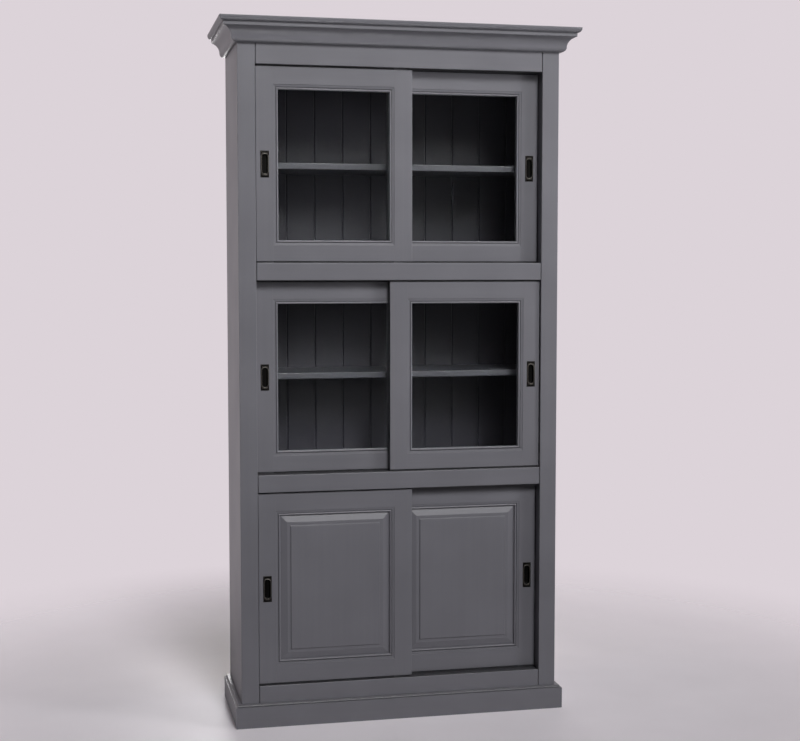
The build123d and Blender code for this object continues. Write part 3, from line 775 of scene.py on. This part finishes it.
class CUPBOARD_OT_shelves(Operator):
    """Loose shelves with rounded front edges"""
    bl_idname = "cupboard.shelves"
    bl_label = "Shelves"

    def execute(self, context):
        ease = context.scene.cupboard_case.shelf_ease
        for tier in TIERS:
            node = tier + "_shelf"
            low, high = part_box(node)
            deep, thick = high.y - low.y, high.z - low.z
            outline = rounded([(0, 0, ease), (0, deep, 0), (thick, deep, 0), (thick, 0, ease)])
            soft = 0.4                  # less edge wear and painted light on a loose shelf than on the case
            case_piece(node + "_board", "shelf_across", "dark_wood", node,
                       (outline, soft * edge_marks(outline)), low.x, high.x, lying(low.z, low.y))
        return {"FINISHED"}


class CUPBOARD_OT_boards(Operator):
    """Finishes of the side panels, decks, back and hidden blocks"""
    bl_idname = "cupboard.boards"
    bl_label = "Boards"

    def execute(self, context):
        paints = {
            "case_upright": ("left_side_panel", "right_side_panel", "back_boards"),
            "case_across": ("bottom_board", "lower_deck", "upper_deck", "shelf_cleats"),
            "bare_pine": ("top_board", "cornice_blocks", "plinth_back", "plinth_blocks"),
        }
        for paint, nodes in paints.items():
            for node in nodes:
                repaint(node, paint)
        return {"FINISHED"}


# --- Doors ------------------------------------------------------------------------------
def sash_outline(size, flat, thick, panelled, reach):
    """Section of a door member, from its outer edge inward and from its face back.

    It starts in the small step where the flat ends and the sticking begins. reach is how far the
    running tongue stands out beyond the outer edge.
    """
    quirk = flat + size.slope
    bead = quirk + size.quirk
    inner = bead + 2 * size.bead
    hollow = size.slope_out + size.bead
    near, far = (thick - size.run) / 2, (thick + size.run) / 2
    if panelled:
        floor, rear = inner - size.groove_in, size.lip + size.groove
        back = [(inner, size.lip, 0), (floor, size.lip, 0), (floor, rear, 0), (inner, rear, 0),
                (inner, thick, 0)]
    else:
        floor = inner - size.rebate
        back = [(inner, size.lip, 0), (floor, size.lip, 0), (floor, thick, 0)]
    tongue = [(-reach, far, 0), (-reach, near, 0)] if reach else []
    return rounded([
        (flat, size.slope_in / 2, 0), (flat, size.slope_in, size.crisp),
        (quirk, size.slope_out, size.crisp), (quirk, hollow, 0), (bead, hollow, 0),
        (bead, size.slope_out, size.bead), (inner, size.slope_out, size.bead), *back,
        (flat, thick, 0), (0, thick, 0), (0, far, 0), *tongue, (0, near, 0),
        (0, 0, size.ease), (flat, 0, size.crisp),
    ])


def sash_marks(outline, size):
    """Marks of a door member: its outer edge behind the face, which runs by the case, is painted shade."""
    return np.where(outline[:, 0] < 0.4 * size.ease, PAINTED_SHADE, edge_marks(outline))


def has_panel(door):
    """Whether a door has a wooden panel and not glass."""
    return door.startswith("lower")


def rail_flats(size, door):
    """Flat faces of the bottom and top rail of a door."""
    return (size.panel_low, size.panel_high) if has_panel(door) else (size.glass_low, size.glass_high)


def door_edges(door, size):
    """Left and right edge of a door, and the foot and top of its visible face."""
    one, other = (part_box(f"{door}_{which}_stile") for which in ("outer", "meeting"))
    return (min(one[0].x, other[0].x), max(one[1].x, other[1].x),
            one[0].z + size.sill_reach, one[1].z - size.head_reach)


class CUPBOARD_OT_sash_rails(Operator):
    """Top and bottom rails of the doors, square shoulders on the flat and mitres on the sticking"""
    bl_idname = "cupboard.sash_rails"
    bl_label = "Door rails"

    def execute(self, context):
        for door in DOORS:
            self.pair(context.scene.cupboard_sashes, door)
        return {"FINISHED"}

    def pair(self, size, door):
        """The bottom and the top rail of one door, as one piece."""
        node = door + "_rails"
        low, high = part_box(node)
        left, right, foot, top = door_edges(door, size)
        thick = high.y - low.y
        stiles = (size.outer, size.meeting) if door.endswith("left") else (size.meeting, size.outer)
        ends = quarter(size.joint, mark=-0.3)
        shell = Shell()
        for flat, edge, sign, reach in zip(rail_flats(size, door), (foot, top), (1, -1),
                                           (size.sill_reach, size.head_reach)):
            outline = sash_outline(size, flat, thick, has_panel(door), reach)
            mitre = np.maximum(outline[:, 0] - flat, 0)
            points, marks = sweep(outline, sash_marks(outline, size), left + stiles[0] + mitre,
                                  right - stiles[1] - mitre, (ends, ends), lying(edge, low.y, sign))
            index = shell.grid(points, marks)
            split = nearest(outline, flat, thick)
            for row in (index[0], index[-1]):
                shell.face(row[:split + 1])
                shell.face(np.append(row[split:], row[0]))
        dress(shell, door + "_sash_rails", "outside_across", door + "_door", "painted_wood", node)


class CUPBOARD_OT_sash_stiles(Operator):
    """Stiles of the doors: full height, sticking mitred to the rails, tongues above and below.

    The flat is a closed ring carried from foot to top. Between the rails its inner side is left open
    and the sticking, an open strip whose ends are cut at 45 degrees, closes it.
    """
    bl_idname = "cupboard.sash_stiles"
    bl_label = "Door stiles"

    def execute(self, context):
        for door in DOORS:
            for which in ("outer", "meeting"):
                self.stile(context.scene.cupboard_sashes, door, which)
        return {"FINISHED"}

    def stile(self, size, door, which):
        """One stile, with the hole for the pull where it is the outer one."""
        node = f"{door}_{which}_stile"
        low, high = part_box(node)
        left, right, foot, top = door_edges(door, size)
        thick = high.y - low.y
        near, far = (thick - size.run) / 2, (thick + size.run) / 2
        sign = 1 if door.endswith("left") == (which == "outer") else -1
        width = size.outer if which == "outer" else size.meeting
        rails = rail_flats(size, door)
        place = standing(left if sign > 0 else right, low.y, sign)
        outline = sash_outline(size, width, thick, has_panel(door), 0)
        marks = sash_marks(outline, size)
        split = nearest(outline, width, thick)
        shell = Shell()

        shoulder = [(width, near), (width, far)]
        flat = np.concatenate([outline[split:], outline[:1], shoulder])
        flat_marks = np.concatenate([marks[split:], marks[:1], [0, 0]])
        ends = [[*quarter(size.ease), (rail, 0, 0), (rail + 2 * size.joint, 0, 0)] for rail in rails]
        points, wear_and_painted_light = sweep(flat, flat_marks, foot, top, ends, place)
        middle, last = len(ends[0]) - 1, len(flat) - 1
        drop = [(row, column) for row in range(middle - 1, middle + 2)
                for column in range(last - 2, last + 1)]
        if which == "outer":
            # the hole goes through the widest stretch of the face
            ahead = np.roll(flat, -1, 0)
            in_face = (flat[:, 1] < SPECK) & (ahead[:, 1] < SPECK)
            column = int(np.argmax(np.where(in_face, ahead[:, 0] - flat[:, 0], 0)))
            drop.append((middle, column))
            self.pocket(shell, size, door + "_pull", sign, points[middle:middle + 2, column:column + 2])
        index = shell.grid(points, wear_and_painted_light, drop=drop)

        front, rear = flat[:, 1] <= near + TINY, flat[:, 1] >= far - TINY
        turned = np.roll(np.arange(len(flat)), 1)
        run = [nearest(flat, 0, far), nearest(flat, 0, near), last - 1, last]
        for row, tip in ((0, low.z), (-1, high.z)):
            shell.face(index[row][front])
            shell.face(index[row][turned][rear[turned]])
            end = points[row][run]
            end[:, 2] = tip
            # the tongue's end faces are drawn dark as painted shade
            shell.face(shell.grid(np.stack([points[row][run], end]), PAINTED_SHADE)[1])

        strip = outline[:split + 1]
        mitre = strip[:, 0] - width
        rows = [(0, 0, 0), (2 * size.joint, 0, 0)]
        points, wear_and_painted_light = sweep(strip, marks[:split + 1], foot + rails[0] + mitre, top - rails[1] - mitre,
                             (rows, rows), place)
        shell.grid(points, wear_and_painted_light, wrap=False)
        for row, level in ((0, foot + rails[0]), (-1, top - rails[1])):
            shell.polygon([*points[row], place(width, far, level), place(width, near, level)])
        dress(shell, f"{door}_{which}_upright", "outside_upright", door + "_door", "painted_wood", node)

    def pocket(self, shell, size, pull, sign, corners):
        """The hole for the pull: two flat faces round a slot, the slot's wall and its floor."""
        low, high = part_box(pull)
        turn = round_slot(np.linspace(0, math.pi, 25))
        radius = size.pocket_wide / 2
        slot = stadium([radius], size.pocket_tall / 2 - radius, turn)[0]
        face = corners[0, 0, 1]
        ring = np.stack([(low.x + high.x) / 2 + sign * slot[:, 0], 0 * slot[:, 0] + face,
                         (low.z + high.z) / 2 + slot[:, 1]], -1)
        shell.face(shell.grid(np.stack([ring, ring + (0, size.pocket, 0)]))[1])
        half = len(ring) // 2
        top, bottom = half // 2, half + half // 2
        (near_low, far_low), (near_high, far_high) = corners
        shell.polygon([near_low, far_low, *ring[top:bottom + 1][::-1], near_high])
        shell.polygon([far_low, far_high, near_high, *ring[:top + 1][::-1], *ring[bottom:][::-1]])


class CUPBOARD_OT_glass(Operator):
    """Finishes of the glass and its beads in the middle and upper doors"""
    bl_idname = "cupboard.glass"
    bl_label = "Glass"

    def execute(self, context):
        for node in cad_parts:
            if node.endswith("_glass"):
                repaint(node, "sheet_glass")
            elif node.endswith("_beads"):
                repaint(node, "outside_across")
        return {"FINISHED"}


class CUPBOARD_OT_raised_panels(Operator):
    """Raised and fielded panels of the lower doors.

    The section runs from the panel's edge inward: tongue, bevel, band, rounded step and field. Each
    of its points gives one rectangle, set in from the edge by its first number and back from the
    face by its second; the rectangles joined in order meet in mitres.
    """
    bl_idname = "cupboard.raised_panels"
    bl_label = "Raised panels"

    def execute(self, context):
        size = context.scene.cupboard_panels
        for side in SIDES:
            node = f"lower_{side}_panel"
            low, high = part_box(node)
            thick = high.y - low.y
            foot = thick - size.depth
            band = foot - size.rise
            step = size.tongue + size.bevel + size.band
            crisp = 0.4 * MM
            deepest = -0.45             # painted shade in the panel's hollows stays lighter than in a quirk
            section = rounded([
                (0, thick, 0),
                (0, foot, 0),
                (size.tongue, foot, crisp),
                (size.tongue + size.bevel, band, crisp),
                (step, band, crisp),
                (step, 0, size.round),
                (3 * step, 0, 0),
            ])
            inset, depth = section.T
            sign_x, sign_z = np.array([(-1, -1), (1, -1), (1, 1), (-1, 1)]).T
            middle, half = (low + high) / 2, (high - low) / 2
            points = np.stack(np.broadcast_arrays(
                middle.x + sign_x * (half.x - inset[:, None]),
                low.y + depth[:, None],
                middle.z + sign_z * (half.z - inset[:, None]),
            ), -1)
            shell = Shell()
            shell.tube(points, np.maximum(-edge_marks(section), deepest)[:, None])
            dress(shell, f"lower_{side}_raised_panel", "outside_upright", f"lower_{side}_door",
                  "painted_wood", node)
        return {"FINISHED"}


# --- Pulls ------------------------------------------------------------------------------
def round_slot(angles):
    """Directions round a slot as (x, z, end): the angles from 0 to pi about its upper centre, then on
    from pi to two pi about its lower one."""
    turn = np.concatenate([angles, angles + math.pi])
    return np.cos(turn), np.sin(turn), np.repeat([1, -1], len(angles))


def stadium(radius, straight, turn):
    """Round-ended slots of the given radii, as (rows, points, 2)."""
    x, z, end = turn
    radius = np.asarray(radius)[:, None]
    return np.stack(np.broadcast_arrays(radius * x, end * straight + radius * z), -1)


def plate_ring(half_width, half_height, straight, turn):
    """Rectangle round the slot, each point seen from its half circle's centre in the same direction."""
    x, z, end = turn
    reach = np.minimum(half_width / np.maximum(np.abs(x), TINY),
                       (half_height - straight) / np.maximum(np.abs(z), TINY))
    return np.stack([x * reach, end * straight + z * reach], -1)


class CUPBOARD_OT_pulls(Operator):
    """Flush finger pulls with their pins.

    A pull is one closed surface: a section carried round a round-ended slot. From the middle of the
    recess it runs over the floor, up the wall, over the rim and the plate to its rectangular edge, and
    back behind the plate and round the outside of the cup.
    """
    bl_idname = "cupboard.pulls"
    bl_label = "Pulls"

    def execute(self, context):
        for door in DOORS:
            self.pull(context.scene.cupboard_pulls, door)
        return {"FINISHED"}

    def pull(self, size, door):
        """The pull of one door and its four pins."""
        node = door + "_pull"
        low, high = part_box(node)
        face = low.y + size.plate + size.rim_height
        x, z = (low.x + high.x) / 2, (low.z + high.z) / 2
        half_width, half_height = (high.x - low.x) / 2, (high.z - low.z) / 2
        inner = size.hollow / 2
        straight = size.tall / 2 - inner
        outer = inner + size.rim
        rim, plate = -size.plate - size.rim_height, -size.plate
        soft = size.rim / 2.2           # each side of the rim is rounded over nearly half its width
        section = rounded([
            (0, size.deep, 0),
            (inner, size.deep, size.hollow / 5),
            (inner, rim, soft),
            (outer, rim, soft),
            (outer, plate, 0.2 * MM),
            (outer + 0.5 * MM, plate, 0),
            (inner + size.wall, size.deep + size.wall, 0),
        ])
        # edges in front of the plate take the pale colour: finger wear and painted highlight
        marks = np.abs(edge_marks(section)) * (section[:, 1] < 0)
        section, marks = section[:-1], marks[:-1]
        corner = math.atan2(half_height - straight, half_width)
        stops = (0, corner, math.pi - corner, math.pi)
        turn = round_slot(np.concatenate([[0]] + [np.linspace(*stops[i:i + 2], 9)[1:] for i in range(3)]))
        cup = stadium(section[:, 0], straight, turn)
        depth = np.broadcast_to(section[:, 1:], cup.shape[:2])
        trim = 0.4 * MM                 # radius on the plate's edge
        back = trim * (1 - np.sin(QUARTER_TURN))
        edge = np.stack([plate_ring(half_width - one, half_height - one, straight, turn) for one in back])
        edge_depth = (plate + trim * (1 - np.cos(QUARTER_TURN)))[:, None]
        lap = plate_ring(half_width, half_height, straight, turn)[None]
        wall = stadium([inner + size.wall, inner + size.wall, 0], straight, turn)
        wall_depth = np.array([0, size.deep + size.wall, size.deep + size.wall])[:, None]
        rings = np.concatenate([cup, edge, lap, wall])
        depths = np.concatenate([depth, np.broadcast_to(edge_depth, edge.shape[:2]),
                                 np.zeros(lap.shape[:2]), np.broadcast_to(wall_depth, wall.shape[:2])])
        # marks of the cup and rim, the plate's rounded edge, its back, and the outside of the cup;
        # marked edges take the pale colour, finger wear and painted highlight
        edges = np.concatenate([marks, [0, 0.6, 1, 1, 0.6], [0], [0, 0, 0]])
        points = np.stack([x + rings[..., 0], face + depths, z + rings[..., 1]], -1)
        shell = Shell()
        shell.grid(points, edges[:, None])
        dress(shell, node + "_cup", "blackened_bronze", door + "_door", "dark_bronze", node)

        pins = Shell()
        turn = np.linspace(0, 2 * math.pi, 17)[:-1]
        tilt = np.linspace(0, math.pi / 2, 6)[:, None]
        dome_height = 0.55 * size.pin
        for sign_x in (-1, 1):
            for sign_z in (-1, 1):
                centre_x = x + sign_x * (half_width - size.inset)
                centre_z = z + sign_z * (half_height - size.inset)
                dome = np.stack(np.broadcast_arrays(
                    centre_x + size.pin * np.sin(tilt) * np.cos(turn),
                    face + plate - dome_height * np.cos(tilt),
                    centre_z + size.pin * np.sin(tilt) * np.sin(turn),
                ), -1)
                index = pins.grid(dome, np.broadcast_to(0.7 * np.cos(tilt), dome.shape[:2]))
                pins.face(index[-1])
        dress(pins, node + "_pins", "blackened_bronze", door + "_door", "dark_bronze")


# --- Stage ------------------------------------------------------------------------------
# name, place, point that it faces, width, height, watts, and spread of its beam in degrees
LAMPS = (
    ("key", (1.0, -8.0, 7.5), (0, 0, 1.7), 6.0, 4.0, 47, 22),
    ("sheen", (1.0, -8.0, 6.0), (0, 0, 1.7), 5.0, 3.0, 14, 22),
    ("right", (3.2, -2.2, 2.0), (0.2, 0, 1.5), 1.0, 1.2, 14, 75),
    ("low", (0.2, -3.0, 0.15), (0, 0, 2.0), 2.2, 0.3, 1.2, 50),
    ("cornice", (0.1, -1.4, 0.12), (0, -0.2, 2.05), 1.6, 0.2, 0.65, 30),
    ("rear", (0, 3.4, 2.6), (0, 0.2, 1.0), 0.9, 1.6, 5, 180),
    ("back", (0.2, 4.5, 1.6), (0, 0.2, 1.3), 1.2, 1.6, 5.5, 34),
    ("left", (-4.0, 0.1, 1.25), (-0.5, 0, 1.1), 1.0, 1.6, 1.6, 40),
)
FLOOR_RADIUS = 7
FADE = {"From Min": 0.9, "From Max": 2.4}       # metres from the middle where the floor turns clear
BOUNCE = 0.45                                   # how bright the floor is to light that it sends on
TO_BACK = {"From Min": -0.35, "From Max": 0.25}  # a direction's Y where dark gives way to pale
SMOOTH = {"interpolation_type": "SMOOTHSTEP"}
AMBIENT = {"Color": (1.0, 0.985, 1.0, 1), "Strength": 0.05}
LENS, SENSOR = 65.54, 36                        # millimetres
CAMERA_PLACE = (-0.9718, -4.508, 1.4021)
CAMERA_TURN = (85.95, 0, -12.48)                # degrees about X, Y and Z


class CUPBOARD_OT_stage(Operator):
    """Pale floor, soft lamps, pale room and the camera"""
    bl_idname = "cupboard.stage"
    bl_label = "Stage"

    def execute(self, context):
        look = context.scene.cupboard_finishes
        self.floor(look)
        self.room(context.scene, look)
        for lamp in LAMPS:
            self.lamp(*lamp)
        self.camera(context.scene)
        return {"FINISHED"}

    def floor(self, look):
        """A disc of points at a radius and a turn, which fades into the room towards its edge."""
        radius = np.linspace(0, FLOOR_RADIUS, 15)[:, None]
        turn = np.linspace(0, 2 * math.pi, 97)[:-1]
        points = np.stack(np.broadcast_arrays(radius * np.cos(turn), radius * np.sin(turn), 0 * radius), -1)
        shell = Shell()
        shell.grid(points)
        disc = shell.mesh("floor")
        if disc.data.polygons[0].normal.z < 0:
            disc.data.flip_normals()
        surface, tree = blank("matt_floor")
        place = add(tree, "TexCoord").outputs["Object"]
        distance = add(tree, "VectorMath", {0: place}, operation="LENGTH").outputs["Value"]
        fade = add(tree, "MapRange", {"Value": distance, **FADE}, **SMOOTH)
        grime = add(tree, "TexNoise", {"Vector": place, "Scale": 3.0, "Detail": 3.0})
        tone = add(tree, "ValToRGB", {"Fac": grime.outputs["Fac"]})
        for stop, position, factor in zip(tone.color_ramp.elements, (0.3, 0.7), (0.97, 1.02)):
            stop.position, stop.color = position, shade(look.floor, factor)
        # pale to the camera, in gloss and through glass; a darker floor lights the cupboard from below
        bounce = add(tree, "MapRange", {"Value": background_ray(tree), "To Min": BOUNCE, "To Max": 1.0})
        tone = add(tree, "Mix", {0: 1.0, 6: tone.outputs["Color"], 7: bounce}, **TINT).outputs[2]
        skin = add(tree, "BsdfPrincipled", {"Base Color": tone, "Roughness": 0.5})
        clear = add(tree, "BsdfTransparent")
        both = add(tree, "MixShader", {0: fade, 1: skin, 2: clear})
        add(tree, "OutputMaterial", {"Surface": both})
        disc.data.materials.append(surface)

    def room(self, scene, look):
        """Plain light for matt surfaces, and a room that is pale all round to the camera.

        Gloss and glass see it pale only behind the cupboard, and dark in front of it.
        """
        world = bpy.data.worlds.new("room")
        world.use_nodes = True
        tree = world.node_tree
        tree.nodes.clear()
        direction = add(tree, "TexCoord").outputs["Generated"]
        depth = add(tree, "SeparateXYZ", {0: direction}).outputs["Y"]
        behind = add(tree, "MapRange", {"Value": depth, **TO_BACK}, **SMOOTH)
        camera_ray = add(tree, "LightPath").outputs["Is Camera Ray"]
        pale = add(tree, "Math", {0: camera_ray, 1: behind}, operation="MAXIMUM")
        mirrored = add(tree, "Mix", {0: pale, 6: (*look.room, 1), 7: (*look.backdrop, 1)}, **BLEND)
        ambient = add(tree, "Background", AMBIENT)
        view = add(tree, "Background", {"Color": mirrored.outputs[2], "Strength": 1.0})
        both = add(tree, "MixShader", {0: background_ray(tree), 1: ambient, 2: view})
        add(tree, "OutputWorld", {"Surface": both})
        scene.world = world
        scene.view_settings.view_transform = "Standard"

    def lamp(self, name, place, target, width, height, watts, spread):
        """A soft rectangular lamp that the camera doesn't see."""
        data = bpy.data.lights.new(name, "AREA")
        data.shape = "RECTANGLE"
        data.size, data.size_y, data.energy, data.spread = width, height, watts, math.radians(spread)
        lamp = bpy.data.objects.new(name, data)
        bpy.context.scene.collection.objects.link(lamp)
        lamp.location = place
        lamp.visible_camera = False
        lamp.rotation_euler = (Vector(target) - Vector(place)).to_track_quat("-Z", "Y").to_euler()

    def camera(self, scene):
        """The camera, a metre left of the middle and level with the rail between the glazed doors."""
        data = bpy.data.cameras.new("camera")
        data.lens, data.sensor_width = LENS, SENSOR
        data.clip_start, data.clip_end = 0.1, 60
        camera = bpy.data.objects.new("camera", data)
        scene.collection.objects.link(camera)
        camera.location = CAMERA_PLACE
        camera.rotation_euler = [math.radians(angle) for angle in CAMERA_TURN]
        scene.camera = camera


class CUPBOARD_PT_build(Panel):
    """Lists the steps and their sizes"""
    bl_idname = "CUPBOARD_PT_build"
    bl_label = "Cupboard"
    bl_space_type = "VIEW_3D"
    bl_region_type = "UI"
    bl_category = "Cupboard"

    def draw(self, context):
        for step in STEPS:
            self.layout.operator(step.bl_idname)
        for group in GROUPS:
            settings = getattr(context.scene, group)
            box = self.layout.box()
            for key in settings.bl_rna.properties.keys():
                if key not in ("rna_type", "name"):
                    box.prop(settings, key)


STEPS = (CUPBOARD_OT_stage, CUPBOARD_OT_boards, CUPBOARD_OT_posts, CUPBOARD_OT_case_rails,
         CUPBOARD_OT_shelves, CUPBOARD_OT_cornice, CUPBOARD_OT_plinth, CUPBOARD_OT_sash_rails,
         CUPBOARD_OT_sash_stiles, CUPBOARD_OT_glass, CUPBOARD_OT_raised_panels, CUPBOARD_OT_pulls)
GROUPS = {"cupboard_mouldings": CupboardMouldings, "cupboard_case": CupboardCase,
          "cupboard_sashes": CupboardSashes, "cupboard_panels": CupboardPanels,
          "cupboard_pulls": CupboardPulls, "cupboard_finishes": CupboardFinishes}


def register():
    """Registers the classes and puts their sizes on the scene."""
    for one in (*GROUPS.values(), *STEPS, CUPBOARD_PT_build):
        bpy.utils.register_class(one)
    for name, group in GROUPS.items():
        setattr(bpy.types.Scene, name, PointerProperty(type=group))


def unregister():
    """Takes back what register did."""
    for name in GROUPS:
        delattr(bpy.types.Scene, name)
    for one in (CUPBOARD_PT_build, *reversed(STEPS), *reversed(GROUPS.values())):
        bpy.utils.unregister_class(one)


def main():
    """Builds the cupboard step by step."""
    register()
    for step in STEPS:
        category, name = step.bl_idname.split(".")
        getattr(getattr(bpy.ops, category), name)()


if __name__ == "__main__":
    main()
